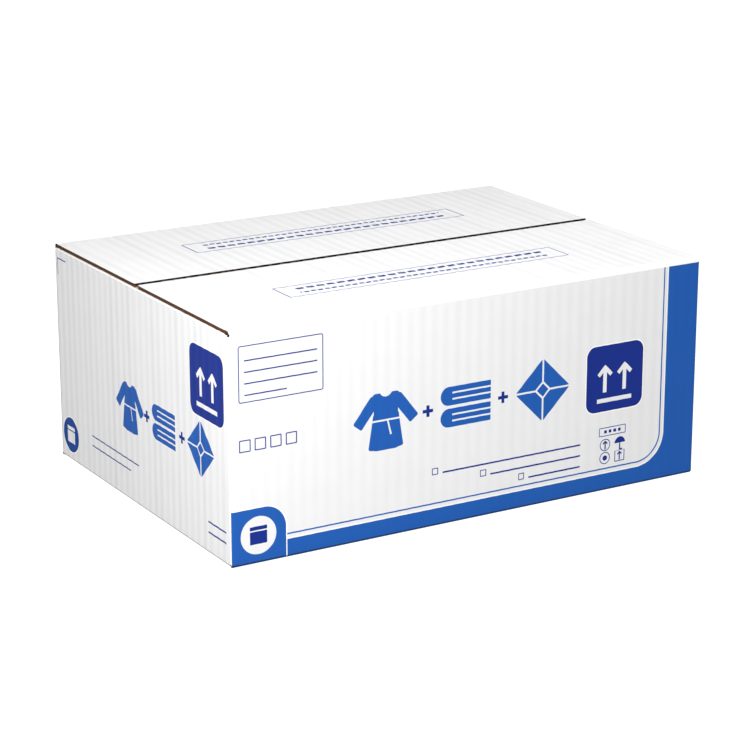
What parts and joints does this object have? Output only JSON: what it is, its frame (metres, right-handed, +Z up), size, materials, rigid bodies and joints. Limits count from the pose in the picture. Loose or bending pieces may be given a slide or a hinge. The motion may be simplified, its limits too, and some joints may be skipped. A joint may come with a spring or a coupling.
{
  "type": "corrugated shipping carton",
  "caption": "White corrugated slotted shipping carton for packed gowns, closed, with hinged outer and inner top flaps over a glued bottom.",
  "frame": {"origin": "on the floor under the middle of the carton", "axes": "+X along the carton's length, towards the right end of the front wall; +Y from the front long wall to the back one; +Z up"},
  "size_m": [0.56, 0.405, 0.24],
  "materials": {
    "coated_board": "white clay-coated outside, printed in two blues, bare kraft inside",
    "kraft_board": "bare brown kraft"
  },
  "bodies": {
    "carton": {"panel_front": "coated_board", "panel_back": "coated_board", "panel_left": "coated_board", "panel_right": "coated_board", "glue_flap": "kraft_board", "bottom_flap_front": "coated_board", "bottom_flap_back": "coated_board", "bottom_flap_left": "coated_board", "bottom_flap_right": "coated_board"},
    "outer_flap_front": {"top_flap_front": "coated_board"},
    "outer_flap_back": {"top_flap_back": "coated_board"},
    "inner_flap_left": {"top_flap_left": "coated_board"},
    "inner_flap_right": {"top_flap_right": "coated_board"}
  },
  "joints": [
    {"name": "front_crease", "type": "hinge", "parent": "carton", "child": "outer_flap_front", "pos_m": [0, -0.2025, 0.24], "axis": [1, 0, 0], "range_deg": [0, 260]},
    {"name": "back_crease", "type": "hinge", "parent": "carton", "child": "outer_flap_back", "pos_m": [0, 0.2025, 0.24], "axis": [-1, 0, 0], "range_deg": [0, 260]},
    {"name": "left_crease", "type": "hinge", "parent": "carton", "child": "inner_flap_left", "pos_m": [-0.2757, 0, 0.2317], "axis": [0, 1, 0], "range_deg": [0, 90]},
    {"name": "right_crease", "type": "hinge", "parent": "carton", "child": "inner_flap_right", "pos_m": [0.2757, 0, 0.2317], "axis": [0, -1, 0], "range_deg": [0, 90]}
  ]
}
